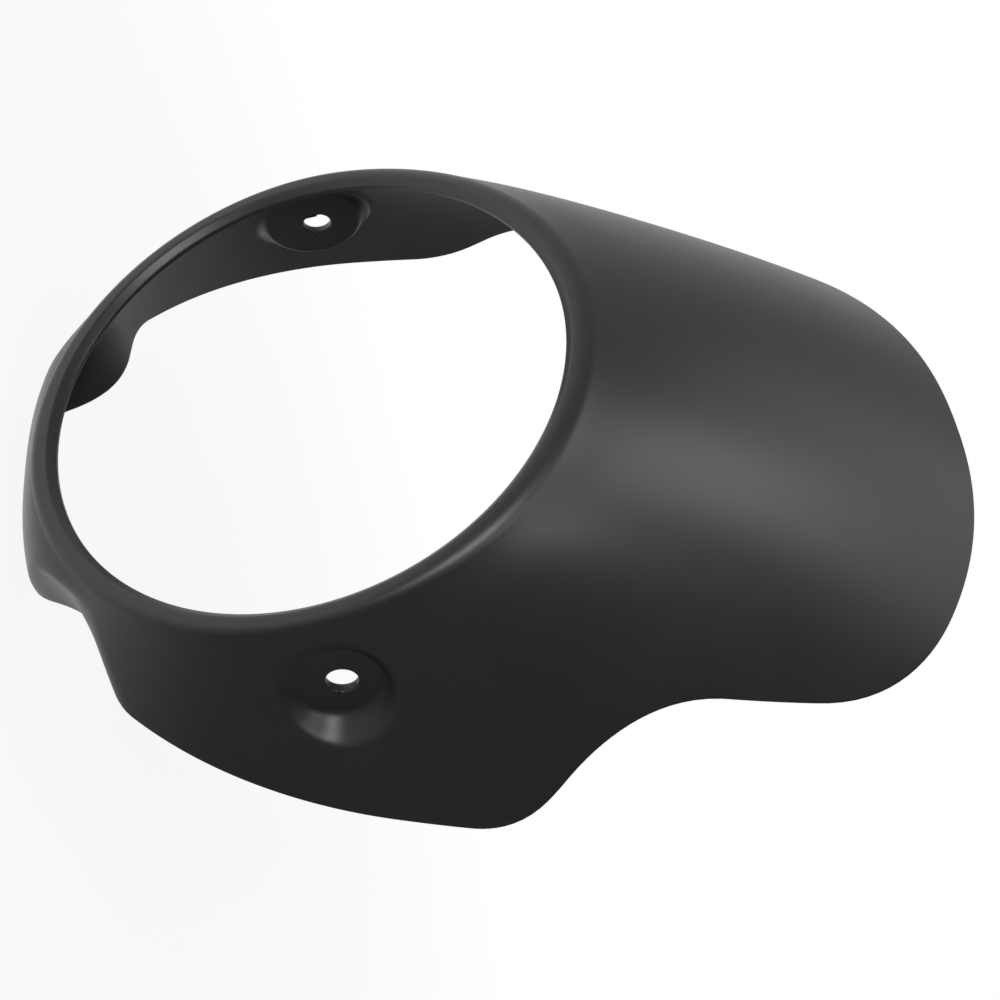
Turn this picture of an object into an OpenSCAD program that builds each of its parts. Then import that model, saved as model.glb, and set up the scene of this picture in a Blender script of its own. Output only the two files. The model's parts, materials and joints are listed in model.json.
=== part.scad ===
// Headlight cowl for a motorbike: a one-piece moulded shell round a round headlamp.
// The origin is the centre of the lamp opening. -Y faces forward, +Z is up on the bike
// and +X is the bike's side. Depth means y, the distance behind the opening.

/* [Lamp opening] */
// Diameter of the opening that the lamp's trim ring fills
opening_d = 165; // [155:0.5:175]
// Length of the straight land inside the opening
land = 1.6; // [1:0.1:2.4]
// Width of the bevel that leads from the land to the rolled rim
bevel_w = 2.3; // [1.6:0.1:3]
// Depth of that bevel, towards the front
bevel_d = 2.7; // [2:0.1:3.4]
// Radius of the rolled rim
rim_r = 2.7; // [2.2:0.1:3.4]

/* [Shell] */
// Thickness of the moulded wall
wall = 3; // [2:0.1:4]
// Angle at which the sides flare away from the rim
side_flare = 23.8; // [18:0.1:30]
// How far the sides curl back inward over 100 mm of depth
side_curl = 2.1; // [0:0.1:12]
// Angle at which the visor's crown line leaves the rim
crown_flare = 50.8; // [42:0.1:56]
// How far the crown line curls back down over 100 mm of depth
crown_curl = 19.2; // [0:0.1:30]
// Angle at which the lower panels leave the rim
belly_flare = 38.4; // [30:0.1:44]
// How far the lower panels curl back inward over 100 mm of depth
belly_curl = 21.1; // [0:0.1:30]
// Fullness of the visor's shoulders, where 0 is a plain ellipse
shoulder = 0.19; // [0:0.01:0.6]
// Fullness that the shoulders gain over 100 mm of depth
shoulder_gain = 0.09; // [0:0.01:0.3]
// Depth over which the shoulders fill out behind the rim
shoulder_run = 10.8; // [6:0.1:24]

/* [Rear edge, seen from the side] */
// Depth of the edge at the bottom of the chin
chin_back = 22.2; // [18:0.1:30]
// Depth of the edge where the side panels meet the shelves
panel_back = 31.1; // [26:0.1:40]
// Depth at which the lobe behind the bolt would come to a point
lobe_back = 83; // [72:0.5:92]
// Height of that point
lobe_z = 35.8; // [26:0.1:44]
// Depth at which the scallop under the visor would come to a point
scallop_back = 51; // [44:0.5:60]
// Height of that point
scallop_z = 74.2; // [66:0.1:84]
// Depth at which the edge would turn up at the visor's heel
visor_back = 106; // [94:0.5:116]
// Height of that point
heel_z = 152.9; // [142:0.1:162]
// Angle by which the edge leans forward from the heel up to the visor's tip
tip_lean = 3.6; // [0:0.1:8]
// Half the length over which the edge bends at the shelves
panel_soft = 2.5; // [1:0.1:6]
// Half the length over which the lobe's corner is rounded
lobe_soft = 15.5; // [8:0.5:18]
// Half the length over which the scallop is rounded
scallop_soft = 29; // [18:0.5:32]
// Half the length over which the visor's heel is rounded
heel_soft = 23.5; // [10:0.5:28]
// Size of the softened corners along the edge
edge_soft = 0.6; // [0.4:0.1:1.2]

/* [Chin and shelves] */
// Angle at which the chin leaves the rim
chin_flare = 43.7; // [34:0.1:48]
// How far the chin curls back inward over 30 mm of depth
chin_curl = 17.2; // [6:0.1:22]
// Fullness of the chin's lower corners, where 0 is a plain ellipse
chin_full = 0.47; // [0:0.01:0.7]
// Height of the level shelves below the opening's centre
shelf_drop = 76.7; // [73:0.1:80]
// Half the width of the chin at the height of the shelves
chin_half = 46.7; // [42:0.1:52]
// Angle by which the chin's flanks lean in as they go down
chin_lean = 19.7; // [10:0.1:28]
// Softness of the hollow between a shelf and the chin's flank
hollow_soft = 22.6; // [12:0.1:28]
// Softness of the ridge between a shelf and the side panel
ridge_soft = 10.4; // [5:0.1:14]
// Softness of the chin's lower corners
corner_soft = 4.4; // [3:0.1:8]

/* [Bolt holes] */
// Diameter of the bolt holes
hole_d = 9.5; // [6:0.1:12]
// Depth of the bolt holes behind the opening
hole_back = 22; // [20:0.5:24]
// Distance between the outer faces of the two pocket floors
bolt_span = 190; // [186:0.2:196]
// Diameter of the round pocket that seats the bolt's head, halfway up its wall
pocket_d = 29; // [24:0.2:30]
// Width over which the pocket's wall rises from floor to skin
pocket_wall = 3; // [2:0.1:4]

/* [Hidden] */

// Section of the rim: the bevel runs tangent into the rolled bead
opening_r = opening_d / 2;
bevel_angle = atan2(bevel_d, bevel_w);
bead_x = opening_r + bevel_w + rim_r * sin(bevel_angle);
bead_y = -bevel_d + rim_r * cos(bevel_angle);
cut_margin = 0.5;

// Depth over which the curls of the sides, crown and belly are measured, and the chin's
curl_run = 100;
chin_run = 30;
// Angles below the sides between which the belly hands over to the chin
belly_end = 48;
chin_start = 67.5;
// Depth behind the bead over which the shelves take their form, and the chin's corners fill out
shelf_run = 8.9;
full_run = 3;
// Least share of a radius that counts as pointing down, which keeps the shelves finite
least_down = 0.05;

// Height of the lowest point of the chin's edge
chin_z = -106;
// Corners of the rear edge in the side view: height, depth and half-length of the rounding
edge_corners = [
    [-shelf_drop, panel_back, panel_soft],
    [lobe_z, lobe_back, lobe_soft],
    [scallop_z, scallop_back, scallop_soft],
    [heel_z, visor_back, heel_soft]
];

// Half the angle that the window of finer mesh round a bolt pocket takes up, and its steps
window_half = 13;
window_steps = 10;
// Angles of the stations on the +X half, up from the bottom, as end and number of steps
station_ends = [
    [-72, 6],
    [-42, 18],
    [-window_half, 9],
    [window_half, window_steps],
    [40, 9],
    [62, 8],
    [90, 8]
];
// Steps down the skin, and the exponent that crowds them towards the rim
skin_steps = 12;
row_crowding = 1.25;
// Steps of the skin in front of the window, and inside it
front_steps = 1;
depth_steps = 8;
// Steps round the bead, before it runs into the skin
bead_steps = 4;
// Points behind the bead, as shares of the wall out and back from the bead's centre
rim_back = [[0.2, 0.45], [-0.1, 0.2]];
// Width of the rim's rear face beside the land, as a share of the wall
land_back = 0.55;
// Facets round the opening's land and round a bolt hole
land_facets = 240;
hole_facets = 48;

// Pocket: where its wall starts and ends, and how softly its floor runs out at the front
floor_x = bolt_span / 2;
pocket_in = (pocket_d - pocket_wall) / 2;
pocket_out = (pocket_d + pocket_wall) / 2;
run_out = 1;
wall_steps = 4;
// Width of the ring of mesh outside the pocket, and how much of it the inner skin has
collar = 2;
inner_share = 1 / 3;
// Distance, and angle, over which slopes are measured
slope_step = 0.25;
// Number of times that a meeting of two curves is refined
edge_turns = 14;
side_turns = 4;
// Colour of the moulding
satin_black = [0.09, 0.09, 0.095];

function mix(a, b, u) = a + (b - a) * u;
function clamp01(u) = min(max(u, 0), 1);
function ease(u) = let (v = clamp01(u)) v * v * (3 - 2 * v);
function soft_min(a, b, k) = min(a, b) - pow(max(k - abs(a - b), 0), 2) / (4 * k);
function soft_max(a, b, k) = -soft_min(-a, -b, k);
function soft_ramp(u, w) = u <= -w ? 0 : u >= w ? u : pow(u + w, 2) / (4 * w);

// Radius of a wall line that starts tangent to the bead and flares and curls behind it
function wall_line(flare, curl, run, t) =
    bead_x + rim_r / cos(flare) + tan(flare) * t + curl * pow(t / run, 2);

// Polar radius of a superellipse with half-axes w and h
function oval(a, w, h, n) =
    pow(pow(abs(cos(a)) / w, n) + pow(abs(sin(a)) / h, n), -1 / n);

function side_line(t) = wall_line(side_flare, -side_curl, curl_run, t);

// Upper half of the skin: the sides run up over full shoulders to the visor's crown
function upper_skin(a, t) =
    let (fill = pow(max(t, 0), 2) / (pow(max(t, 0), 2) + pow(shoulder_run, 2)))
    let (n = 2 + (shoulder + shoulder_gain * pow(t / curl_run, 2)) * fill)
    oval(a, side_line(t), wall_line(crown_flare, -crown_curl, curl_run, t), n);

// Lower half: belly and chin, with the level shelves cut in on either side of the chin
function lower_skin(a, t) =
    let (to_chin = ease((-a - belly_end) / (chin_start - belly_end)))
    let (belly = wall_line(belly_flare, -belly_curl, curl_run, t))
    let (chin = wall_line(chin_flare, -chin_curl, chin_run, t))
    let (n = 2 + chin_full * to_chin * (1 - exp(-max(t, 0) / full_run)))
    let (body = oval(a, side_line(t), mix(belly, chin, to_chin), n))
    let (down = max(-sin(a), least_down))
    let (shelf = shelf_drop / down)
    let (flank = (chin_half + shelf_drop * tan(chin_lean)) / (cos(a) + down * tan(chin_lean)))
    let (hollow = soft_max(shelf, flank, hollow_soft))
    let (pressed = soft_min(body, hollow, mix(ridge_soft, corner_soft, to_chin)))
    mix(body, pressed, ease(t / shelf_run));

// Radius of the outer skin at angle a from the side, -90 to 90, and depth y
function skin_r(a, y) = a >= 0 ? upper_skin(a, y - bead_y) : lower_skin(a, y - bead_y);

// Angle folded onto the +X half, since the cowl is the same on both sides
function folded(a) = a <= 90 ? a : 180 - a;

function skin_point(a, y) = let (r = skin_r(folded(a), y)) [r * cos(a), y, r * sin(a)];

// Outward unit normal of the skin, from its two tangents
function skin_normal(a, y) =
    let (along = skin_point(a, y + slope_step) - skin_point(a, y - slope_step))
    let (around = skin_point(a + slope_step, y) - skin_point(a - slope_step, y))
    let (n = cross(along, around))
    n / norm(n);

// Depth of the rear edge at height z, a polyline with its corners rounded
function edge_slope(i) =
    i < 0 ? (panel_back - chin_back) / (-shelf_drop - chin_z)
    : i >= len(edge_corners) - 1 ? -tan(tip_lean)
    : (edge_corners[i + 1][1] - edge_corners[i][1]) / (edge_corners[i + 1][0] - edge_corners[i][0]);
function edge_y(z, i = 0) =
    i == len(edge_corners) ? chin_back + edge_slope(-1) * (z - chin_z)
    : edge_y(z, i + 1)
      + (edge_slope(i) - edge_slope(i - 1)) * soft_ramp(z - edge_corners[i][0], edge_corners[i][2]);

// Depth of the rear edge at a station, found where the skin meets the edge line
function edge_at(a, y = panel_back, turns = edge_turns) =
    turns == 0 ? y : edge_at(a, edge_y(skin_r(folded(a), y) * sin(a)), turns - 1);

// Angle round the bead at which it runs tangent into the skin
function bead_end(a) =
    let (front_r = skin_r(folded(a), bead_y - slope_step))
    let (back_r = skin_r(folded(a), bead_y + slope_step))
    90 - atan((back_r - front_r) / (2 * slope_step));

// Stations round the cowl, from the bottom up the +X side and down the other
function span_of(from, to, steps) = [for (k = [1:steps]) mix(from, to, k / steps)];
half_angles = [
    -90,
    for (s = [0:len(station_ends) - 1])
        each span_of(s == 0 ? -90 : station_ends[s - 1][0], station_ends[s][0], station_ends[s][1])
];
angles = [
    each half_angles,
    for (k = [len(half_angles) - 2:-1:1]) 180 - half_angles[k]
];
stations = len(angles);

function at_radius(a, r, y) = [r * cos(a), y, r * sin(a)];

// Closed section of the moulding at one station
function section(a) =
    let (end = bead_end(a))
    let (start_y = bead_y - rim_r * cos(end))
    let (end_y = edge_at(a))
    let (outward = skin_normal(a, end_y))
    let (lip = skin_point(a, end_y))
    let (depths = [
        for (k = [0:skin_steps]) mix(start_y, end_y - edge_soft, pow(k / skin_steps, row_crowding))
    ])
    [
        at_radius(a, opening_r - cut_margin, land),
        at_radius(a, opening_r - cut_margin, cut_margin * bevel_d / bevel_w),
        for (k = [0:bead_steps - 1])
            let (turn = mix(-bevel_angle, end, k / bead_steps))
            at_radius(a, bead_x + rim_r * sin(turn), bead_y - rim_r * cos(turn)),
        for (y = depths) skin_point(a, y),
        lip - edge_soft * outward,
        lip - (wall - edge_soft) * outward,
        for (k = [skin_steps:-1:1]) skin_point(a, depths[k]) - wall * skin_normal(a, depths[k]),
        for (share = rim_back) at_radius(a, bead_x + share[0] * wall, bead_y + share[1] * wall),
        at_radius(a, opening_r + land_back * wall, land)
    ];

sections = [for (a = angles) section(a)];
points_each = len(sections[0]);
first_row = 2 + bead_steps;
last_inner = first_row + 2 * skin_steps + 3;

// Height of the bare skin above the middle plane, at depth y and height z
function side_x(y, z, a = 0, turns = side_turns) =
    let (r = skin_r(a, y))
    turns == 0 ? sqrt(r * r - z * z) : side_x(y, z, asin(z / r), turns - 1);

// Distance along X that a wall takes up where the skin leans
function lean_factor(y, z) =
    norm([
        1,
        (side_x(y + slope_step, z) - side_x(y - slope_step, z)) / (2 * slope_step),
        (side_x(y, z + slope_step) - side_x(y, z - slope_step)) / (2 * slope_step)
    ]);

// Skin with the pocket pressed in: depth is how far below the outer face it is
function pocket_x(y, z, depth) =
    let (skin = side_x(y, z) - depth * lean_factor(y, z))
    let (rho = norm([y - hole_back, z]) - depth)
    let (open = 1 - ease((rho - pocket_in) / (pocket_out - pocket_in)))
    skin - soft_ramp(skin - (floor_x - depth), run_out) * open;

// Station and row pairs round the window of one side, in order
middle = len([for (a = half_angles) if (a < 0) a]);
first_station = middle - window_steps / 2;
back_step = front_steps + depth_steps;
window_path = [
    for (k = [0:depth_steps - 1]) [0, front_steps + k],
    for (k = [0:window_steps - 1]) [k, back_step],
    for (k = [0:depth_steps - 1]) [window_steps, back_step - k],
    for (k = [0:window_steps - 1]) [window_steps - k, front_steps]
];
path_len = len(window_path);

function station_of(side, k) =
    side > 0 ? first_station + k : (stations - first_station - k) % stations;
function profile_of(row, outer) = outer ? first_row + row : last_inner - row;
function grid_index(side, step, outer) =
    station_of(side, step[0]) * points_each + profile_of(step[1], outer);

// Rings of points between the window and the pocket's floor, and one point at its centre
ring_radii = [
    pocket_out + collar,
    for (k = [wall_steps:-1:0]) mix(pocket_in, pocket_out, k / wall_steps)
];
rings = len(ring_radii);
function ring_radius(k, outer) =
    outer ? ring_radii[k] : wall + (k == 0 ? pocket_out + collar * inner_share : ring_radii[k]);

function patch_points(side, outer) =
    let (depth = outer ? 0 : wall)
    [
        for (k = [0:rings - 1], step = window_path)
            let (corner = sections[station_of(1, step[0])][profile_of(step[1], outer)])
            let (away = [corner[1] - hole_back, corner[2]] / norm([corner[1] - hole_back, corner[2]]))
            let (y = hole_back + ring_radius(k, outer) * away[0])
            let (z = ring_radius(k, outer) * away[1])
            [side * pocket_x(y, z, depth), y, z],
        [side * (floor_x - depth), hole_back, 0]
    ];

function turned(face, flip) = flip ? [for (k = [len(face) - 1:-1:0]) face[k]] : face;

function patch_faces(side, outer, base) =
    let (flip = (side > 0) == outer)
    [
        for (k = [0:rings], l = [0:path_len - 1])
            let (m = (l + 1) % path_len)
            let (a = k == 0 ? grid_index(side, window_path[l], outer) : base + (k - 1) * path_len + l)
            let (b = k == 0 ? grid_index(side, window_path[m], outer) : base + (k - 1) * path_len + m)
            each k == rings
                ? [turned([a, b, base + rings * path_len], flip)]
                : [
                    turned([a, b, base + k * path_len + m], flip),
                    turned([a, base + k * path_len + m, base + k * path_len + l], flip)
                ]
    ];

// True for the grid cells that a window takes the place of
function in_window(i, j) =
    let (k = i < stations / 2 ? i - first_station : stations - first_station - 1 - i)
    let (outer_row = j - first_row)
    let (inner_row = last_inner - 1 - j)
    k >= 0 && k < window_steps
    && ((outer_row >= front_steps && outer_row < back_step)
        || (inner_row >= front_steps && inner_row < back_step));

module moulding() {
    grid = [for (s = sections) each s];
    patch_size = rings * path_len + 1;
    patches = [[1, true], [1, false], [-1, true], [-1, false]];
    patched = [for (p = patches) each patch_points(p[0], p[1])];
    grid_faces = [
        for (i = [0:stations - 1], j = [0:points_each - 1])
            let (p = i * points_each)
            let (q = ((i + 1) % stations) * points_each)
            let (n = (j + 1) % points_each)
            if (!in_window(i, j))
                each [[p + j, q + j, q + n], [p + j, q + n, p + n]]
    ];
    pocket_faces = [
        for (k = [0:len(patches) - 1])
            each patch_faces(patches[k][0], patches[k][1], len(grid) + k * patch_size)
    ];
    polyhedron([each grid, each patched], [each grid_faces, each pocket_faces], convexity = 10);
}

// Straight land of the opening, cut true to the lamp's ring
module opening_cut() {
    reach = land + bevel_d + 2 * cut_margin;
    translate([0, land + cut_margin, 0])
        rotate([90, 0, 0]) cylinder(h = reach, r = opening_r, $fn = land_facets);
}

// Both bolt holes lie on one line across the cowl
module bolt_holes() {
    translate([0, hole_back, 0])
        rotate([0, 90, 0])
            cylinder(h = bolt_span + 2 * wall, d = hole_d, center = true, $fn = hole_facets);
}

module cowl_shell() {
    color(satin_black) difference() {
        moulding();
        opening_cut();
        bolt_holes();
    }
}

cowl_shell();
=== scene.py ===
"""Looks of a motorbike headlight cowl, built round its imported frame.

The origin is the centre of the lamp opening. -Y faces forward, +Z is up towards the visor, and +X is
the near side. Lengths are in metres, depth means y, and a section's angle is measured in degrees up
from the +X side, so that -90 is the middle of the chin and 90 the middle of the visor.
"""

import json
import logging
import math
from dataclasses import dataclass, field
from enum import Enum
from typing import Any

import bmesh
import bpy
import numpy as np
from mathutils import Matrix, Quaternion, Vector

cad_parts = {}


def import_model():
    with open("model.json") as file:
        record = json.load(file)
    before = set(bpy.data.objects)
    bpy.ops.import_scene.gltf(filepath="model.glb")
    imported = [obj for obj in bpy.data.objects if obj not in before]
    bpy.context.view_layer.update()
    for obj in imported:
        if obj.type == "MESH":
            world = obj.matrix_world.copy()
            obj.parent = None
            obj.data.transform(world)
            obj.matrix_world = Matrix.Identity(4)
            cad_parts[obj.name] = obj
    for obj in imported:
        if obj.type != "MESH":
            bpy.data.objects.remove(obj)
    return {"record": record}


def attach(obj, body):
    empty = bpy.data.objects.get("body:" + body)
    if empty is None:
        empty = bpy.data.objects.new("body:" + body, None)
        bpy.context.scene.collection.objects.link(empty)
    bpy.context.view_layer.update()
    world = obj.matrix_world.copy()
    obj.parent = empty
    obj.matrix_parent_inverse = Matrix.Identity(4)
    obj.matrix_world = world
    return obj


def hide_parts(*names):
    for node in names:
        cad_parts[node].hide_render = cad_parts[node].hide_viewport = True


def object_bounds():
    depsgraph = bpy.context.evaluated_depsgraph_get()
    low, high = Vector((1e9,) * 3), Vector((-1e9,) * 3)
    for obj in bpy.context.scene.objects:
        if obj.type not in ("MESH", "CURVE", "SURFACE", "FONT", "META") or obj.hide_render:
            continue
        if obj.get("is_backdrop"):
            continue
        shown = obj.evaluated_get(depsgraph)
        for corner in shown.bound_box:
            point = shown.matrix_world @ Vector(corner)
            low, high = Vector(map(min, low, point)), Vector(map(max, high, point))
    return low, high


LOG = logging.getLogger("headlight_cowl")
MM = 0.001
SHELL_NODE = "cowl_shell"
SHELL_SLOT = "satin_black"
WHITE = (1.0, 1.0, 1.0, 1.0)
Array = np.ndarray


def mix(a: Array, b: Array, share: Array) -> Array:
    """Blends a into b by a share from 0 to 1."""
    return a + (b - a) * share


def ease(share: Array) -> Array:
    """Smooth step of a share, flat at 0 and at 1."""
    v = np.clip(share, 0.0, 1.0)
    return v * v * (3.0 - 2.0 * v)


def soft_min(a: Array, b: Array, softness: float) -> Array:
    """The smaller of two values, with the crease between them rounded."""
    overlap = np.maximum(softness - np.abs(a - b), 0.0)
    return np.minimum(a, b) - overlap**2 / (4.0 * softness)


def soft_max(a: Array, b: Array, softness: float) -> Array:
    """The larger of two values, with the crease between them rounded."""
    return -soft_min(-a, -b, softness)


def soft_ramp(value: Array, softness: float) -> Array:
    """Zero below 0 and the value itself above it, with the corner rounded."""
    bend = (value + softness) ** 2 / (4.0 * softness)
    return np.where(value <= -softness, 0.0, np.where(value >= softness, value, bend))


def unit(vectors: Array) -> Array:
    """Vectors brought to length 1 along their last axis."""
    return vectors / np.linalg.norm(vectors, axis=-1, keepdims=True)


def around(radius: Array, angle: Array, depth: Array) -> Array:
    """Points at a radius from the lamp's axis.

    Args:
        radius: Distances from the lamp's axis.
        angle: Angles of the stations, in degrees.
        depth: Depths behind the opening.

    Returns:
        Points, with their three coordinates in the last axis.
    """
    radius, angle, depth = np.broadcast_arrays(radius, angle, depth)
    turn = np.radians(angle)
    return np.stack([radius * np.cos(turn), depth, radius * np.sin(turn)], axis=-1)


def crowded(fine: Array, weight: Array, count: int) -> Array:
    """Picks values that lie closer together where their weight is larger.

    Args:
        fine: Even values over the whole range.
        weight: How closely the picked ones lie at each of them.
        count: How many are picked.

    Returns:
        The picked values, from the first of the range to the last.
    """
    total = np.concatenate([[0.0], np.cumsum((weight[1:] + weight[:-1]) / 2.0)])
    return np.interp(np.linspace(0.0, total[-1], count), total, fine)


@dataclass(frozen=True)
class LampOpening:
    """Lamp opening: its straight land, and the circle that the skin leaves as a tangent."""

    radius: float
    land: float
    bevel_width: float = 2.3 * MM
    bevel_depth: float = 2.7 * MM
    bead: float = 2.7 * MM

    @property
    def bevel_angle(self) -> float:
        """Steepness of the bevel, in radians."""
        return math.atan2(self.bevel_depth, self.bevel_width)

    @property
    def bead_radius(self) -> float:
        """Distance of the bead's centre from the lamp's axis."""
        return self.radius + self.bevel_width + self.bead * math.sin(self.bevel_angle)

    @property
    def bead_depth(self) -> float:
        """Depth of the bead's centre."""
        return -self.bevel_depth + self.bead * math.cos(self.bevel_angle)


@dataclass(frozen=True)
class RimSection:
    """Rim: a bevel from the land, a flat face, and a rounded lip into the skin.

    The rim's back is a few corners between the inner skin and the land, each given by its distance
    outward from the bead's centre and its depth behind it, as shares of the wall. The lip's end on the
    skin is found in rounds, each going a share of the way to the next guess.
    """

    front: float = 2.2 * MM
    bevel_width: float = 2.3 * MM
    bevel_soft: float = 0.6 * MM
    land_soft: float = 0.35 * MM
    side_lip: float = 2.7 * MM
    crown_lip: float = 8.4 * MM
    chin_lip: float = 3.6 * MM
    lip_rate: float = 1.4
    back: tuple[tuple[float, float], ...] = ((0.2, 0.65), (0.02, 0.5), (-0.1, 0.47), (-0.35, 0.5))
    back_end: float = 0.55
    back_clearance: float = 0.45
    rounds: int = 60
    round_share: float = 0.3

    def lip_radius(self, angle: Array) -> Array:
        """Radius of the lip, which rolls over ever more gently towards the visor.

        Args:
            angle: Angles of the stations, in degrees.

        Returns:
            Radii of the lip.
        """
        rise = self.lip_rate * np.sin(np.radians(angle))
        far_lip = np.where(angle >= 0.0, self.crown_lip, self.chin_lip)
        return mix(self.side_lip, far_lip, ease(np.abs(rise)))


@dataclass(frozen=True)
class SkinForm:
    """Outer skin of the cowl as a radius over angle and depth. Its angles are in degrees."""

    opening: LampOpening
    side_flare: float = 23.8
    side_curl: float = 2.1 * MM
    crown_flare: float = 50.8
    crown_curl: float = 19.2 * MM
    belly_flare: float = 38.4
    belly_curl: float = 21.1 * MM
    chin_flare: float = 43.7
    chin_curl: float = 17.2 * MM
    curl_run: float = 100.0 * MM
    chin_run: float = 30.0 * MM
    shoulder: float = 0.19
    shoulder_gain: float = 0.09
    shoulder_run: float = 10.8 * MM
    chin_full: float = 0.47
    full_run: float = 3.0 * MM
    belly_end: float = 48.0
    chin_start: float = 67.5
    shelf_drop: float = 76.7 * MM
    shelf_run: float = 8.9 * MM
    chin_half: float = 46.7 * MM
    chin_lean: float = 19.7
    hollow_soft: float = 22.6 * MM
    ridge_soft: float = 10.4 * MM
    corner_soft: float = 4.4 * MM
    least_down: float = 0.05
    slope_step: float = 0.2 * MM
    slope_turn: float = 0.2
    side_rounds: int = 6

    def wall_line(self, flare: float, curl: float, run: float, behind: Array) -> Array:
        """Radius of a wall line that leaves the bead as a tangent, then flares and curls back.

        Args:
            flare: Angle at which the line leaves the bead.
            curl: How far it has curled back inward after one run.
            run: Depth over which the curl is measured.
            behind: Depths behind the bead's centre.

        Returns:
            Radii of the line.
        """
        angle = math.radians(flare)
        start = self.opening.bead_radius + self.opening.bead / math.cos(angle)
        return start + math.tan(angle) * behind - curl * (behind / run) ** 2

    def radius(self, angle: Array, depth: Array) -> Array:
        """Radius of the skin.

        Args:
            angle: Angles of the stations, which may run a little past the middle plane.
            depth: Depths behind the opening.

        Returns:
            Distances of the skin from the lamp's axis.
        """
        angle = np.where(angle > 90.0, 180.0 - angle, angle)
        behind = depth - self.opening.bead_depth
        angle, behind = np.broadcast_arrays(angle, behind)
        across = np.maximum(np.abs(np.cos(np.radians(angle))), 1e-9)
        rise = np.sin(np.radians(angle))
        grown = np.maximum(behind, 0.0)
        side = self.wall_line(self.side_flare, self.side_curl, self.curl_run, behind)
        crown = self.wall_line(self.crown_flare, self.crown_curl, self.curl_run, behind)
        belly = self.wall_line(self.belly_flare, self.belly_curl, self.curl_run, behind)
        chin = self.wall_line(self.chin_flare, self.chin_curl, self.chin_run, behind)

        filled = grown**2 / (grown**2 + self.shoulder_run**2)
        gain = self.shoulder_gain * (behind / self.curl_run) ** 2
        upper = self._oval(across, rise, side, crown, 2.0 + (self.shoulder + gain) * filled)

        to_chin = ease((-angle - self.belly_end) / (self.chin_start - self.belly_end))
        full = self.chin_full * to_chin * (1.0 - np.exp(-grown / self.full_run))
        body = self._oval(across, rise, side, mix(belly, chin, to_chin), 2.0 + full)
        down = np.maximum(-rise, self.least_down)
        lean = math.tan(math.radians(self.chin_lean))
        shelf = self.shelf_drop / down
        flank = (self.chin_half + self.shelf_drop * lean) / (across + down * lean)
        hollow = soft_max(shelf, flank, self.hollow_soft)
        softness = mix(self.ridge_soft, self.corner_soft, to_chin)
        pressed = soft_min(body, hollow, softness)
        lower = mix(body, pressed, ease(behind / self.shelf_run))
        return np.where(angle >= 0.0, upper, lower)

    @staticmethod
    def _oval(across: Array, rise: Array, half_w: Array, half_h: Array, power: Array) -> Array:
        """Polar radius of a superellipse with these half-axes."""
        total = (across / half_w) ** power + (np.abs(rise) / half_h) ** power
        return total ** (-1.0 / power)

    def point(self, angle: Array, depth: Array) -> Array:
        """Points on the skin."""
        return around(self.radius(angle, depth), angle, depth)

    def normal(self, angle: Array, depth: Array) -> Array:
        """Outward normals of the skin, from its two tangents.

        Args:
            angle: Angles of the stations.
            depth: Depths behind the opening.

        Returns:
            Vectors of length 1.
        """
        step, turn = self.slope_step, self.slope_turn
        along = self.point(angle, depth + step) - self.point(angle, depth - step)
        round_it = self.point(angle + turn, depth) - self.point(angle - turn, depth)
        return unit(np.cross(along, round_it))

    def side_x(self, depth: Array, height: Array) -> Array:
        """Distance of the bare skin from the middle plane.

        Args:
            depth: Depths behind the opening.
            height: Heights above the lamp's axis.

        Returns:
            Distances along X.
        """
        radius = self.radius(np.zeros_like(depth), depth)
        for _ in range(self.side_rounds):
            angle = np.degrees(np.arcsin(np.clip(height / radius, -1.0, 1.0)))
            radius = self.radius(angle, depth)
        return np.sqrt(np.maximum(radius**2 - height**2, 0.0))

    def lean_factor(self, depth: Array, height: Array) -> Array:
        """Distance along X that a wall takes up where the skin leans, as a share of the wall.

        Args:
            depth: Depths behind the opening.
            height: Heights above the lamp's axis.

        Returns:
            Factors of 1 or more.
        """
        step = self.slope_step
        back = self.side_x(depth + step, height) - self.side_x(depth - step, height)
        rise = self.side_x(depth, height + step) - self.side_x(depth, height - step)
        return np.sqrt(1.0 + (back**2 + rise**2) / (2.0 * step) ** 2)


@dataclass(frozen=True)
class EdgeCorner:
    """Corner of the rear edge in the side view, and half the length over which it is rounded."""

    height: float
    depth: float
    soft: float


@dataclass(frozen=True)
class RearEdge:
    """Rear edge of the cowl, drawn in the side view as straight runs with rounded corners.

    The edge is found on the skin by going back and forth between the two, for some rounds.
    """

    chin_height: float = -106.0 * MM
    chin_depth: float = 22.2 * MM
    tip_lean: float = 3.6
    rounds: int = 20
    corners: tuple[EdgeCorner, ...] = (
        EdgeCorner(-76.7 * MM, 31.1 * MM, 2.5 * MM),
        EdgeCorner(35.8 * MM, 83.0 * MM, 15.5 * MM),
        EdgeCorner(74.2 * MM, 51.0 * MM, 29.0 * MM),
        EdgeCorner(152.9 * MM, 106.0 * MM, 23.5 * MM),
    )

    def depth_at(self, height: Array) -> Array:
        """Depth of the edge line at a height.

        Args:
            height: Heights above the lamp's axis.

        Returns:
            Depths behind the opening.
        """
        first = self.corners[0]
        slopes = [(first.depth - self.chin_depth) / (first.height - self.chin_height)]
        for low, high in zip(self.corners, self.corners[1:]):
            slopes.append((high.depth - low.depth) / (high.height - low.height))
        slopes.append(-math.tan(math.radians(self.tip_lean)))
        depth = self.chin_depth + slopes[0] * (height - self.chin_height)
        for corner, before, after in zip(self.corners, slopes, slopes[1:]):
            depth = depth + (after - before) * soft_ramp(height - corner.height, corner.soft)
        return depth

    def meet(self, skin: SkinForm, angle: Array) -> Array:
        """Depth at which the skin ends, station by station.

        Args:
            skin: The outer skin.
            angle: Angles of the stations.

        Returns:
            Depths of the edge on the skin.
        """
        depth = np.full_like(angle, self.corners[0].depth)
        for _ in range(self.rounds):
            depth = self.depth_at(skin.radius(angle, depth) * np.sin(np.radians(angle)))
        return depth


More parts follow.
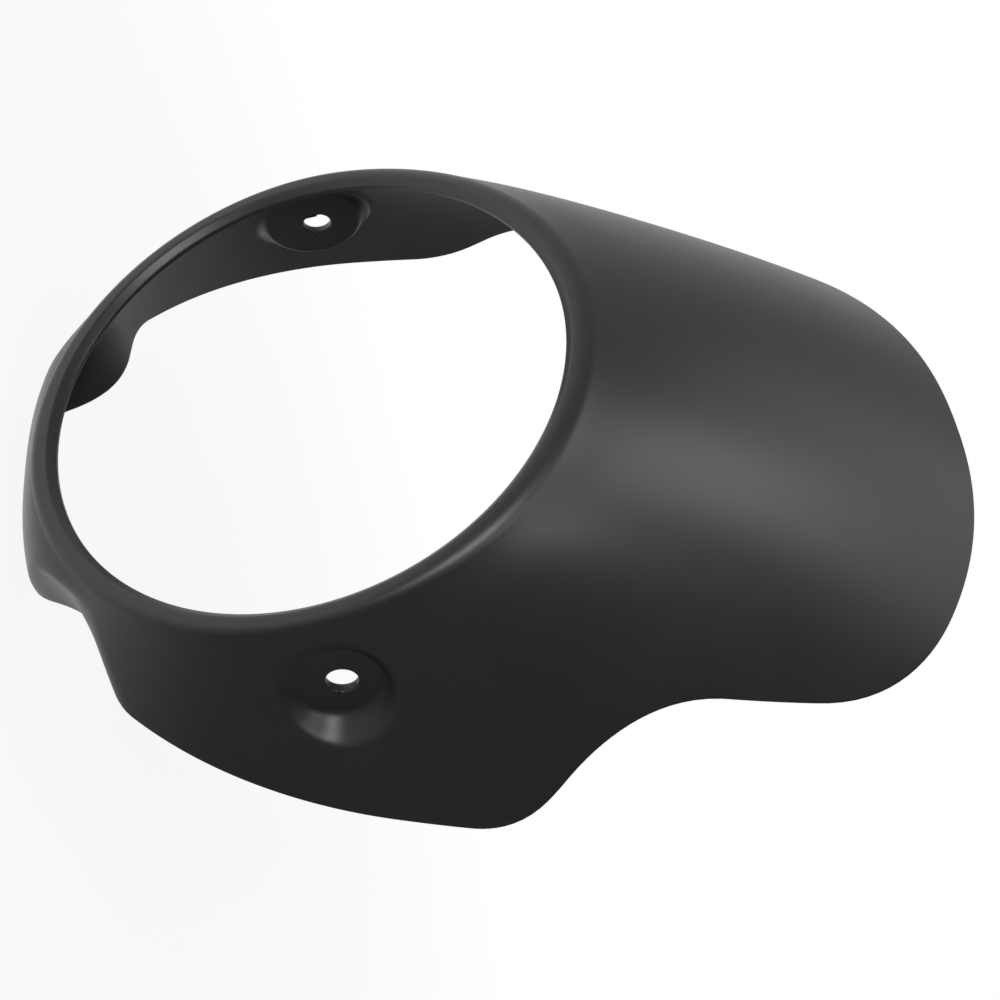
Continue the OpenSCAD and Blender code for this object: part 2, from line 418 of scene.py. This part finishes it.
@dataclass(frozen=True)
class BoltPocket:
    """Round pocket pressed into each side, with a bolt hole through its floor."""

    hole_radius: float
    hole_depth: float
    floor_x: float
    diameter: float = 30.8 * MM
    wall_width: float = 5.0 * MM
    forward: float = 0.6 * MM
    lower: float = 1.4 * MM
    floor_slope: float = 0.18
    run_out: float = 1.2 * MM
    hole_edge: float = 0.5 * MM
    hole_margin: float = 1.0 * MM
    crowd_reach: float = 6.0 * MM
    crowd_share: float = 0.55
    crowd_gain: float = 2.0

    @property
    def inner(self) -> float:
        """Radius at which the pocket's wall meets its floor."""
        return (self.diameter - self.wall_width) / 2.0

    @property
    def outer(self) -> float:
        """Radius at which the pocket's wall meets the skin."""
        return (self.diameter + self.wall_width) / 2.0

    def floor_at(self, depth: Array) -> Array:
        """Distance of the pocket's floor from the middle plane."""
        return self.floor_x + self.floor_slope * (depth - self.hole_depth)

    def press(self, skin: SkinForm, points: Array, below: float) -> Array:
        """Presses the pocket into points of the near side.

        The points first crowd towards the pocket's steep wall, so that it gets enough of them.

        Args:
            skin: The outer skin.
            points: Points of the outer face, or of the inner one.
            below: How far that face lies under the outer skin.

        Returns:
            The points with the pocket in them.
        """
        middle_depth = self.hole_depth - self.forward
        back, up = points[..., 1] - middle_depth, points[..., 2] + self.lower
        reach = np.hypot(back, up)
        inner, outer = self.inner + below, self.outer + below
        spread = self.crowd_reach
        middle = (inner + outer) / 2.0
        wide = (outer - inner) * self.crowd_share
        drawn = wide * self.crowd_gain
        source = [0.0, inner - spread, middle - drawn, middle + drawn, outer + spread]
        target = [0.0, inner - spread, middle - wide, middle + wide, outer + spread]
        near = (reach < outer + spread) & (points[..., 0] > 0.0)
        moved = np.interp(reach[near], source, target)
        scale = moved / np.maximum(reach[near], 1e-9)
        depth = middle_depth + back[near] * scale
        height = up[near] * scale - self.lower

        def face(y: Array, z: Array) -> Array:
            """Distance of the bare face from the middle plane, without the pocket."""
            bare = skin.side_x(y, z)
            return bare - below * skin.lean_factor(y, z) if below else bare

        drift = points[near][..., 0] - face(points[near][..., 1], points[near][..., 2])
        bare = face(depth, height) + drift
        open_share = 1.0 - ease((moved - inner) / (outer - inner))
        above = bare - (self.floor_at(depth) - below)
        pushed = bare - soft_ramp(above, self.run_out) * open_share
        out = points.copy()
        out[near] = np.stack([pushed, depth, height], axis=-1)
        return out


@dataclass(frozen=True)
class MeshGrain:
    """How finely the moulding is meshed: stations round it, and rows down its skin.

    Each crowd is how many more stations or rows than elsewhere a place gets, over its reach, which is
    in degrees for the stations.
    """

    stations: int = 384
    rows: int = 84
    lip_steps: int = 18
    bevel_steps: int = 3
    face_steps: int = 3
    corner_steps: int = 3
    edge_steps: int = 4
    fine_angles: int = 3601
    fine_depths: int = 801
    pocket_crowd: float = 2.6
    pocket_reach: float = 11.0
    corner_crowd: float = 1.0
    corner_angle: float = -58.0
    corner_reach: float = 14.0
    visor_crowd: float = 0.35
    visor_angle: float = 30.0
    visor_reach: float = 30.0
    rim_crowd: float = 2.4
    rim_reach: float = 3.0 * MM
    depth_crowd: float = 1.5


@dataclass
class Moulding:
    """The cowl's one moulded piece, from its rim to its rear edge."""

    opening: LampOpening
    pocket: BoltPocket
    wall: float
    skin: SkinForm = field(init=False)
    edge: RearEdge = field(default_factory=RearEdge)
    rim: RimSection = field(default_factory=RimSection)
    grain: MeshGrain = field(default_factory=MeshGrain)
    edge_soft: float = 0.6 * MM
    edge_gap: float = 1.5 * MM
    name: str = "cowl_moulding"

    def __post_init__(self) -> None:
        """Gives the skin the opening that it starts from."""
        self.skin = SkinForm(self.opening)

    def station_angles(self) -> Array:
        """Angles of the near side's stations, crowded at the chin's corner and the pocket.

        Returns:
            Angles from the middle of the chin to the middle of the visor.
        """
        grain = self.grain
        fine = np.linspace(-90.0, 90.0, grain.fine_angles)
        weight = 1.0 + grain.pocket_crowd * np.exp(-((fine / grain.pocket_reach) ** 4))
        corner = (fine - grain.corner_angle) / grain.corner_reach
        weight += grain.corner_crowd * np.exp(-(corner**2))
        weight += grain.visor_crowd * ease((fine - grain.visor_angle) / grain.visor_reach)
        return crowded(fine, weight, grain.stations // 2 + 1)

    def row_depths(self, start: Array, end: Array) -> Array:
        """Depths of the rows down the skin.

        Args:
            start: Depth of the first row at each station.
            end: Depth of the last row at each station.

        Returns:
            Depths, one row of the array for each station.
        """
        grain = self.grain
        centre = self.pocket.hole_depth
        reach = self.pocket.outer + self.pocket.crowd_reach
        shares = np.linspace(0.0, 1.0, grain.fine_depths)
        out = np.empty((len(start), grain.rows))
        for k, (low, high) in enumerate(zip(start, end)):
            fine = mix(low, high, shares)
            weight = 1.0 + grain.rim_crowd * np.exp(-(fine - low) / grain.rim_reach)
            weight += grain.depth_crowd * np.exp(-(((fine - centre) / reach) ** 6))
            out[k] = crowded(fine, weight, grain.rows)
        return out

    def lip_arc(self, angle: Array) -> tuple[Array, Array, Array]:
        """Arc that joins the rim's flat face to the skin, both as tangents.

        Args:
            angle: Angles of the stations.

        Returns:
            The arc's radius, its centre's distance from the lamp's axis, and the slope of its end.
        """
        step = self.skin.slope_step
        depth = np.zeros_like(angle)
        bend = self.rim.lip_radius(angle)
        for _ in range(self.rim.rounds):
            rise = self.skin.radius(angle, depth + step) - self.skin.radius(angle, depth - step)
            slope = rise / (2.0 * step)
            lean = np.hypot(1.0, slope)
            centre = self.skin.radius(angle, depth) - bend / lean
            found = bend - self.rim.front - bend * slope / lean
            depth = mix(depth, found, self.rim.round_share)
        return bend, centre, slope

    def rounded(self, before: tuple, corner: tuple, after: tuple) -> list[tuple]:
        """Points of a soft corner in the rim's section, as pairs of a radius and a depth.

        Args:
            before: Where the corner starts.
            corner: Where its two sides would meet.
            after: Where it ends.

        Returns:
            Points from the start to the end.
        """
        out = []
        for k in range(self.grain.corner_steps + 1):
            u = k / self.grain.corner_steps
            keep, pull, turn = (1.0 - u) ** 2, 2.0 * u * (1.0 - u), u**2
            out.append(tuple(keep * a + pull * b + turn * c for a, b, c in zip(before, corner, after)))
        return out

    def rim_inside(self) -> list[tuple]:
        """Section of the land and the bevel, from the land's rear corner to the flat face.

        Returns:
            Points as pairs of a radius and a depth.
        """
        radius, land = self.opening.radius, self.opening.land
        rim, soft = self.rim, self.rim.land_soft
        long = math.hypot(rim.bevel_width, rim.front)
        way = (rim.bevel_width / long, -rim.front / long)
        crest = (radius + rim.bevel_width, -rim.front)
        lead = (radius + soft * way[0], soft * way[1])
        end = (crest[0] - rim.bevel_soft * way[0], crest[1] - rim.bevel_soft * way[1])
        rear = self.rounded((radius + soft, land), (radius, land), (radius, land - soft))
        front = self.rounded((radius, soft), (radius, 0.0), lead)
        steps = self.grain.bevel_steps
        bevel = [
            tuple(a + (b - a) * k / (steps + 1) for a, b in zip(lead, end))
            for k in range(1, steps + 1)
        ]
        return rear + front + bevel + self.rounded(end, crest, (crest[0] + rim.bevel_soft, crest[1]))

    def rim_columns(self, angle: Array) -> list[Array]:
        """Columns of points from the land's rear corner to the end of the lip.

        Args:
            angle: Angles of the stations.

        Returns:
            One array of points for each column.
        """
        section = self.rim_inside()
        columns = [around(radius, angle, depth) for radius, depth in section]
        bend, centre, slope = self.lip_arc(angle)
        inner, front = section[-1]
        steps = self.grain.face_steps
        for k in range(1, steps):
            columns.append(around(mix(inner, centre, k / steps), angle, front))
        for k in range(self.grain.lip_steps):
            turn = (math.pi / 2.0 - np.arctan(slope)) * k / self.grain.lip_steps
            radius = centre + bend * np.sin(turn)
            columns.append(around(radius, angle, front + bend * (1.0 - np.cos(turn))))
        return columns

    def rear_arcs(self, angle: Array, depth: Array) -> list[Array]:
        """Columns of points over the rounded rear edge, from the outer face to the inner one.

        Args:
            angle: Angles of the stations.
            depth: Depth of the edge at each station.

        Returns:
            One array of points for each column.
        """
        turn, soft = self.skin.slope_turn, self.edge_soft
        ahead = self.skin.point(angle + turn, self.edge.meet(self.skin, angle + turn))
        behind = self.skin.point(angle - turn, self.edge.meet(self.skin, angle - turn))
        lip = self.skin.point(angle, depth)
        out_way = self.skin.normal(angle, depth)
        back_way = unit(np.cross(unit(ahead - behind), out_way))
        back_way *= np.sign(back_way[..., 1:2])
        columns = []
        steps = self.grain.edge_steps
        for inner in (False, True):
            sink = self.wall - soft if inner else soft
            centre = lip - soft * back_way - sink * out_way
            for k in range(steps + 1):
                swing = math.pi / 2.0 * k / steps
                up, along = math.cos(swing), math.sin(swing)
                if inner:
                    up, along = -math.sin(swing), math.cos(swing)
                columns.append(centre + soft * (up * out_way + along * back_way))
        return columns

    def half_table(self) -> tuple[Array, slice, slice]:
        """Points of the near half, with its rows in order round the section.

        Returns:
            The points by station and row, the rows of the outer skin, and those of the inner one.
        """
        opening, grain, rim, wall = self.opening, self.grain, self.rim, self.wall
        angle = self.station_angles()
        end_depth = self.edge.meet(self.skin, angle)
        bend, _, slope = self.lip_arc(angle)
        start = bend * (1.0 - slope / np.hypot(1.0, slope)) - rim.front
        depths = self.row_depths(start, end_depth - self.edge_gap)
        stations = angle[:, None]

        columns = self.rim_columns(angle)
        outer = self.skin.point(stations, depths)
        first_outer = len(columns)
        behind_rim = depths < start[:, None] + rim.back_clearance * wall
        skipped = int(np.ceil(np.mean(np.sum(behind_rim, axis=1))))
        inner = outer - wall * self.skin.normal(stations, depths)
        outer = self.pocket.press(self.skin, outer, 0.0)
        inner = self.pocket.press(self.skin, inner, wall)
        columns += [outer[:, k] for k in range(grain.rows)]
        columns += self.rear_arcs(angle, end_depth)
        first_inner = len(columns)
        columns += [inner[:, k] for k in range(grain.rows - 1, skipped - 1, -1)]
        for outward, behind in rim.back:
            radius = opening.bead_radius + outward * wall
            columns.append(around(radius, angle, opening.bead_depth + behind * wall))
        columns.append(around(opening.radius + rim.back_end * wall, angle, opening.land))
        outer_rows = slice(first_outer + skipped, first_outer + grain.rows)
        inner_rows = slice(first_inner, first_inner + grain.rows - skipped)
        return np.stack(columns, axis=1), outer_rows, inner_rows

    @staticmethod
    def full_table(half: Array) -> Array:
        """Points of the whole ring: the near half and its mirror image."""
        mirrored = half[-2:0:-1] * np.array([-1.0, 1.0, 1.0])
        return np.concatenate([half, mirrored])

    def build(self) -> bpy.types.Object:
        """Makes the moulding: a ring is spun, laid on the section's points, and drilled.

        Returns:
            The finished object.
        """
        half, outer_rows, inner_rows = self.half_table()
        table = self.full_table(half)
        stations, rows = table.shape[:2]
        mesh_maker = bmesh.new()
        ring = [mesh_maker.verts.new((1.0, k * MM, 0.0)) for k in range(rows)]
        sides = [mesh_maker.edges.new((ring[k - 1], ring[k])) for k in range(rows)]
        bmesh.ops.spin(
            mesh_maker, geom=ring + sides, cent=(0, 0, 0), axis=(0, 1, 0),
            angle=-2.0 * math.pi, steps=stations, use_merge=True,
        )
        drilled = self.drilled_rows(table, outer_rows, inner_rows)
        faces_out = []
        places = {}
        for vert in mesh_maker.verts:
            share = math.atan2(vert.co.z, vert.co.x) / (2.0 * math.pi)
            places[vert] = (round(share * stations) % stations, round(vert.co.y / MM))
        for face in mesh_maker.faces:
            if all(drilled[places[vert]] for vert in face.verts):
                faces_out.append(face)
        for vert, place in places.items():
            vert.co = table[place]
        bmesh.ops.delete(mesh_maker, geom=faces_out, context="FACES")
        for side in (1.0, -1.0):
            self.bore(mesh_maker, side)
        bmesh.ops.recalc_face_normals(mesh_maker, faces=mesh_maker.faces)
        mesh = bpy.data.meshes.new(self.name)
        mesh_maker.to_mesh(mesh)
        mesh_maker.free()
        mesh.shade_smooth()
        piece = bpy.data.objects.new(self.name, mesh)
        bpy.context.scene.collection.objects.link(piece)
        return piece

    def dress(self, piece: bpy.types.Object, finish: "SatinPlastic") -> None:
        """Gives the moulding its finish and puts it in the place of its node.

        Args:
            piece: The moulding's object.
            finish: Its finish.
        """
        piece.data.materials.append(finish.material())
        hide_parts(SHELL_NODE)
        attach(piece, "root")

    def drilled_rows(self, table: Array, outer_rows: slice, inner_rows: slice) -> Array:
        """Marks the points that the bolt holes take away, the same ones on both faces.

        Args:
            table: Points of the whole ring.
            outer_rows: Rows of the outer skin that have a partner on the inner one.
            inner_rows: Rows of the inner skin, in the opposite order.

        Returns:
            True for each point that goes.
        """
        outer = table[:, outer_rows]
        back, up = outer[..., 1] - self.pocket.hole_depth, outer[..., 2]
        half = self.pocket.hole_radius + self.pocket.hole_margin
        gone = (np.abs(back) < half) & (np.abs(up) < half)
        marks = np.zeros(table.shape[:2], bool)
        marks[:, outer_rows] = gone
        marks[:, inner_rows] = gone[:, ::-1]
        return marks

    def bore(self, mesh_maker: bmesh.types.BMesh, side: float) -> None:
        """Turns the gaps in both faces of one side into a round hole with softened ends.

        Args:
            mesh_maker: The moulding's mesh, with the faces round the hole's axis taken out.
            side: 1 for the near side and -1 for the far one.
        """
        soft = self.pocket.hole_edge
        ends = []
        for way in (1.0, -1.0):
            loop = [
                edge
                for edge in mesh_maker.edges
                if edge.is_boundary and all(self.above_middle(v.co, side) * way > 0.0 for v in edge.verts)
            ]
            for k in range(self.grain.corner_steps + 1):
                swing = math.pi / 2.0 * k / self.grain.corner_steps
                radius = self.pocket.hole_radius + soft * (1.0 - math.sin(swing))
                above = way * (self.wall / 2.0 - soft * (1.0 - math.cos(swing)))
                loop = self.ring_inside(mesh_maker, loop, side, radius, above)
            ends.append(loop)
        bmesh.ops.bridge_loops(mesh_maker, edges=ends[0] + ends[1])

    def above_middle(self, place: Vector, side: float) -> float:
        """How far a point lies above the middle of the pocket's floor.

        Args:
            place: The point.
            side: 1 for the near side and -1 for the far one.

        Returns:
            The distance along X, or 0 for a point of the other side.
        """
        if place.x * side < 0.0:
            return 0.0
        return place.x * side - self.pocket.floor_at(place.y) + self.wall / 2.0

    def ring_inside(
        self, mesh_maker: bmesh.types.BMesh, loop: list, side: float, radius: float, above: float
    ) -> list:
        """Extrudes a loop of edges onto a circle round the hole's axis.

        Args:
            mesh_maker: The moulding's mesh.
            loop: Edges of the loop.
            side: 1 for the near side and -1 for the far one.
            radius: Radius of the circle.
            above: Its distance above the middle of the pocket's floor.

        Returns:
            Edges of the new loop.
        """
        made = bmesh.ops.extrude_edge_only(mesh_maker, edges=loop)["geom"]
        new_verts = {v for v in made if isinstance(v, bmesh.types.BMVert)}
        for vert in new_verts:
            back, up = vert.co.y - self.pocket.hole_depth, vert.co.z
            scale = radius / math.hypot(back, up)
            depth = self.pocket.hole_depth + back * scale
            x = self.pocket.floor_at(depth) - self.wall / 2.0 + above
            vert.co = (side * x, depth, up * scale)
        return [
            edge
            for edge in made
            if isinstance(edge, bmesh.types.BMEdge) and set(edge.verts) <= new_verts
        ]


class Value:
    """One output or number of a node graph, used in plain Python expressions."""

    def __init__(self, graph: "Graph", socket: bpy.types.NodeSocket) -> None:
        """Keeps the socket and the graph that it belongs to."""
        self.graph = graph
        self.socket = socket

    def _math(self, operation: str, first: Any, second: Any) -> "Value":
        """Adds one Math node."""
        node = self.graph.node("ShaderNodeMath", {"operation": operation}, {0: first, 1: second})
        return self.graph.value(node, 0)

    def __add__(self, other: Any) -> "Value":
        """Sum."""
        return self._math("ADD", self, other)

    __radd__ = __add__

    def __mul__(self, other: Any) -> "Value":
        """Product."""
        return self._math("MULTIPLY", self, other)

    __rmul__ = __mul__

    def __sub__(self, other: Any) -> "Value":
        """Difference."""
        return self._math("SUBTRACT", self, other)

    def __rsub__(self, other: Any) -> "Value":
        """Difference, with the number first."""
        return self._math("SUBTRACT", other, self)

    def highest(self, other: Any) -> "Value":
        """The larger of two values."""
        return self._math("MAXIMUM", self, other)


class Graph:
    """Node tree of a material or of the world."""

    def __init__(self, owner: bpy.types.ID) -> None:
        """Clears the owner's node tree and takes it over.

        Args:
            owner: The material or the world.
        """
        owner.use_nodes = True
        self.tree = owner.node_tree
        self.tree.nodes.clear()

    def node(self, kind: str, settings: dict | None = None, inputs: dict | None = None) -> Any:
        """Adds a node.

        Args:
            kind: The node's type.
            settings: Its own settings, which are set before its sockets.
            inputs: What goes into each socket, by name or by place: a value or a number.

        Returns:
            The node.
        """
        node = self.tree.nodes.new(kind)
        for key, setting in (settings or {}).items():
            setattr(node, key, setting)
        for key, source in (inputs or {}).items():
            if isinstance(source, Value):
                self.tree.links.new(source.socket, node.inputs[key])
            else:
                node.inputs[key].default_value = source
        return node

    def value(self, node: Any, output: int | str = 0) -> Value:
        """Output of a node as a value."""
        return Value(self, node.outputs[output])

    def place(self) -> Value:
        """Object coordinates."""
        return self.value(self.node("ShaderNodeTexCoord"), "Object")

    def noise(self, place: Value, scale: float, detail: float, roughness: float = 0.5) -> Value:
        """Noise pattern of about 1 over the scale in size, from 0 to 1."""
        inputs = {"Vector": place, "Scale": scale, "Detail": detail, "Roughness": roughness}
        return self.value(self.node("ShaderNodeTexNoise", None, inputs), 0)

    def between(self, value: Value, low: float, high: float) -> Value:
        """Share of the way from low to high, smoothed and held from 0 to 1.

        Args:
            value: What is measured.
            low: The value that gives 0.
            high: The value that gives 1.

        Returns:
            The share.
        """
        settings = {"interpolation_type": "SMOOTHSTEP"}
        inputs = {"Value": value, "From Min": low, "From Max": high}
        return self.value(self.node("ShaderNodeMapRange", settings, inputs), 0)

    def tint(self, share: Value, low: tuple, high: tuple) -> Value:
        """Colour between two colours.

        Args:
            share: Share of the second colour.
            low: The first colour, with its alpha.
            high: The second colour, with its alpha.

        Returns:
            The colour.
        """
        settings = {"data_type": "RGBA"}
        node = self.node("ShaderNodeMix", settings, {0: share, 6: low, 7: high})
        return self.value(node, 2)

    def blend(self, share: Value, first: Value, second: Value) -> Value:
        """Surface between two surfaces, by the share of the second one."""
        return self.value(self.node("ShaderNodeMixShader", None, {0: share, 1: first, 2: second}))


@dataclass(frozen=True)
class SatinPlastic:
    """Satin black moulded plastic: a fine even grain under a soft sheen."""

    name: str
    colour: tuple[float, float, float]
    shade_swing: float = 0.14
    flow_share: float = 0.6
    roughness: float = 0.36
    roughness_swing: float = 0.06
    grain_size: float = 0.28 * MM
    grain_detail: float = 2.0
    grain_breakup: float = 0.55
    pore_spread: float = 0.42
    pore_share: float = 0.35
    grain_depth: float = 0.012 * MM
    grain_strength: float = 0.5
    flow_size: float = 26.0 * MM
    flow_detail: float = 3.0

    def material(self) -> bpy.types.Material:
        """Makes the finish.

        Returns:
            The material.
        """
        made = bpy.data.materials.new(self.name)
        graph = Graph(made)
        place = graph.place()
        grain = graph.noise(place, 1.0 / self.grain_size, self.grain_detail, self.grain_breakup)
        pores = graph.noise(place, self.pore_spread / self.grain_size, 1.0)
        flow = graph.noise(place, 1.0 / self.flow_size, self.flow_detail)
        low = tuple(c * (1.0 - self.shade_swing) for c in self.colour) + (1.0,)
        high = tuple(c * (1.0 + self.shade_swing) for c in self.colour) + (1.0,)
        shade = graph.tint(self.flow_share * flow + (1.0 - self.flow_share) * grain, low, high)
        rough = self.roughness + self.roughness_swing * (flow - 0.5 + 0.5 * (pores - 0.5))
        height = (1.0 - self.pore_share) * grain + self.pore_share * pores
        relief = {"Strength": self.grain_strength, "Distance": self.grain_depth, "Height": height}
        bump = graph.node("ShaderNodeBump", None, relief)
        skin = {"Base Color": shade, "Roughness": rough, "Normal": graph.value(bump, "Normal")}
        surface = graph.node("ShaderNodeBsdfPrincipled", None, skin)
        graph.node("ShaderNodeOutputMaterial", None, {"Surface": graph.value(surface)})
        return made


@dataclass(frozen=True)
class Surroundings:
    """Brightness of the studio round the cowl, from its dim near side to its white far side."""

    towards: tuple[float, float, float]
    start: float
    end: float
    dimmest: float
    brightest: float

    def strength(self, graph: Graph, way: Value) -> Value:
        """Brightness seen along a direction.

        Args:
            graph: The graph that gets the nodes.
            way: The direction, or a place seen from the origin.

        Returns:
            The strength, where 1 is white.
        """
        straight = graph.value(graph.node("ShaderNodeVectorMath", {"operation": "NORMALIZE"}, {0: way}))
        axis = Vector(self.towards).normalized()
        dot = graph.node("ShaderNodeVectorMath", {"operation": "DOT_PRODUCT"}, {0: straight, 1: axis})
        share = graph.between(graph.value(dot, "Value"), self.start, self.end)
        return self.dimmest + (self.brightest - self.dimmest) * share


@dataclass(frozen=True)
class StudioFloor:
    """Pale floor under the cowl, which fades into the white round it and keeps the shadow."""

    height: float
    mirrored: Surroundings = Surroundings((-0.54, -0.28, -0.79), -0.15, 0.75, 0.08, 1.08)
    half_size: float = 4.0
    near: float = 0.16
    far: float = 0.75
    least_white: float = 0.9
    colour: tuple[float, float, float, float] = (0.86, 0.86, 0.86, 1.0)
    roughness: float = 0.9
    name: str = "studio_floor"

    def build(self) -> None:
        """Makes the floor and marks it as part of the stage."""
        maker = bmesh.new()
        bmesh.ops.create_grid(maker, x_segments=2, y_segments=2, size=self.half_size)
        bmesh.ops.translate(maker, verts=maker.verts, vec=(0.0, 0.0, self.height))
        mesh = bpy.data.meshes.new(self.name)
        maker.to_mesh(mesh)
        maker.free()
        mesh.materials.append(self._finish())
        floor = bpy.data.objects.new(self.name, mesh)
        bpy.context.scene.collection.objects.link(floor)
        floor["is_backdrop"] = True

    def _finish(self) -> bpy.types.Material:
        """White paper that the camera sees ever whiter with the distance from the cowl.

        Returns:
            The material.
        """
        made = bpy.data.materials.new(self.name)
        graph = Graph(made)
        place = graph.place()
        length = graph.node("ShaderNodeVectorMath", {"operation": "LENGTH"}, {0: place})
        away = graph.between(graph.value(length, "Value"), self.near, self.far)
        rays = graph.node("ShaderNodeLightPath")
        white = self.least_white + (1.0 - self.least_white) * away
        sheet = {"Base Color": self.colour, "Roughness": self.roughness}
        paper = graph.value(graph.node("ShaderNodeBsdfPrincipled", None, sheet))
        glow = {"Color": WHITE, "Strength": 1.0}
        plain = graph.value(graph.node("ShaderNodeEmission", None, glow))
        seen = graph.value(rays, "Is Camera Ray") * white
        shown = graph.blend(seen, paper, plain)
        through = graph.value(rays, "Is Transmission Ray")
        mirrored = graph.value(rays, "Is Glossy Ray").highest(through)
        graded = {"Color": WHITE, "Strength": self.mirrored.strength(graph, place)}
        sheen = graph.value(graph.node("ShaderNodeEmission", None, graded))
        surface = graph.blend(mirrored, shown, sheen)
        graph.node("ShaderNodeOutputMaterial", None, {"Surface": surface})
        return made


class LampRole(Enum):
    """What a lamp does for the cowl."""

    CROWN = "crown_softbox"
    MAIN = "main_softbox"
    SIDE = "side_softbox"
    KEY = "key_softbox"


@dataclass(frozen=True)
class Softbox:
    """Square area lamp that looks at the cowl from one direction."""

    role: LampRole
    direction: tuple[float, float, float]
    size: float
    power: float
    distance: float = 1.3

    def build(self, centre: Vector) -> None:
        """Makes the lamp.

        Args:
            centre: The point that it looks at.
        """
        data = bpy.data.lights.new(self.role.value, "AREA")
        data.size = self.size
        data.energy = self.power
        lamp = bpy.data.objects.new(self.role.value, data)
        lamp.visible_camera = False
        bpy.context.scene.collection.objects.link(lamp)
        away = Vector(self.direction).normalized()
        lamp.location = centre + away * self.distance
        lamp.rotation_mode = "QUATERNION"
        lamp.rotation_quaternion = away.to_track_quat("Z", "Y")


@dataclass(frozen=True)
class Studio:
    """Light, backdrop and camera round the cowl."""

    centre: tuple[float, float, float] = (0.0, 0.04, 0.04)
    around: Surroundings = Surroundings((-0.61, 0.21, -0.77), -0.72, 1.25, 0.0, 1.2)
    softboxes: tuple[Softbox, ...] = (
        Softbox(LampRole.CROWN, direction=(-0.11, 0.06, 0.99), size=1.15, power=3.9),
        Softbox(LampRole.MAIN, direction=(0.04, -0.37, 0.93), size=0.58, power=2.9),
        Softbox(LampRole.SIDE, direction=(0.50, -0.50, 0.70), size=0.36, power=1.7),
        Softbox(LampRole.KEY, direction=(0.36, -0.86, 0.36), size=0.36, power=5.4),
    )
    camera_place: tuple[float, float, float] = (0.32508, -0.34889, 0.11797)
    camera_target: tuple[float, float, float] = (0.0, 0.08291, 0.04095)
    camera_roll: float = 76.29
    camera_start: float = 10.0 * MM
    focal_share: float = 1.58096
    sensor: float = 36.0

    def world(self) -> None:
        """Makes the white surroundings, which light the cowl from its far side."""
        world = bpy.data.worlds.new("white_surroundings")
        bpy.context.scene.world = world
        graph = Graph(world)
        seen = graph.value(graph.node("ShaderNodeLightPath"), "Is Camera Ray")
        lit = self.around.strength(graph, graph.place())
        strength = lit + (1.0 - lit) * seen
        white = graph.node("ShaderNodeBackground", None, {"Color": WHITE, "Strength": strength})
        graph.node("ShaderNodeOutputWorld", None, {"Surface": graph.value(white)})

    def camera(self) -> None:
        """Makes the camera at the photograph's place, turned so that the visor points right."""
        data = bpy.data.cameras.new("photo_camera")
        data.sensor_width = self.sensor
        data.lens = self.focal_share * self.sensor
        data.clip_start = self.camera_start
        camera = bpy.data.objects.new("photo_camera", data)
        bpy.context.scene.collection.objects.link(camera)
        place, target = Vector(self.camera_place), Vector(self.camera_target)
        aim = (target - place).to_track_quat("-Z", "Y")
        roll = Quaternion((0.0, 0.0, 1.0), math.radians(self.camera_roll))
        camera.location = place
        camera.rotation_mode = "QUATERNION"
        camera.rotation_quaternion = aim @ roll
        bpy.context.scene.camera = camera

    def build(self, floor_height: float) -> None:
        """Sets up the whole studio.

        Args:
            floor_height: Height of the floor, which the cowl stands on.
        """
        self.camera()
        self.world()
        StudioFloor(floor_height).build()
        for softbox in self.softboxes:
            softbox.build(Vector(self.centre))
            LOG.info("lamp %s", softbox.role.value)
        bpy.context.scene.view_settings.view_transform = "Standard"


def mount(record: dict, name: str) -> dict:
    """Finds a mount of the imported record.

    Args:
        record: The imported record.
        name: The mount's name.

    Returns:
        The mount.
    """
    return next(m for m in record["mounts"] if m["name"] == name)


def make_moulding(record: dict) -> Moulding:
    """Takes the moulding's driving sizes from the record.

    Args:
        record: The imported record.

    Returns:
        The moulding, not built yet.
    """
    lamp = mount(record, "lamp_opening")
    bolt = mount(record, "right_bolt_hole")
    wall = bolt["dims"]["length_mm"] * MM
    opening = LampOpening(lamp["dims"]["r_mm"] * MM, lamp["dims"]["length_mm"] * MM)
    pocket = BoltPocket(
        hole_radius=bolt["dims"]["r_mm"] * MM,
        hole_depth=bolt["pos_m"][1],
        floor_x=bolt["pos_m"][0] + wall / 2.0,
    )
    return Moulding(opening, pocket, wall)


def main() -> None:
    """Builds the moulding, dresses it, and sets the studio round it."""
    logging.basicConfig(level=logging.INFO, format="%(name)s: %(message)s")
    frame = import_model()
    record: dict = frame["record"]
    cad_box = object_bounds()

    moulding = make_moulding(record)
    piece = moulding.build()
    slot = next(m for m in record["materials"] if m["slot"] == SHELL_SLOT)
    moulding.dress(piece, SatinPlastic(SHELL_SLOT, tuple(slot["base_color"])))
    LOG.info("%s: %d faces", piece.name, len(piece.data.polygons))

    Studio().build(cad_box[0].z)


if __name__ == "__main__":
    main()
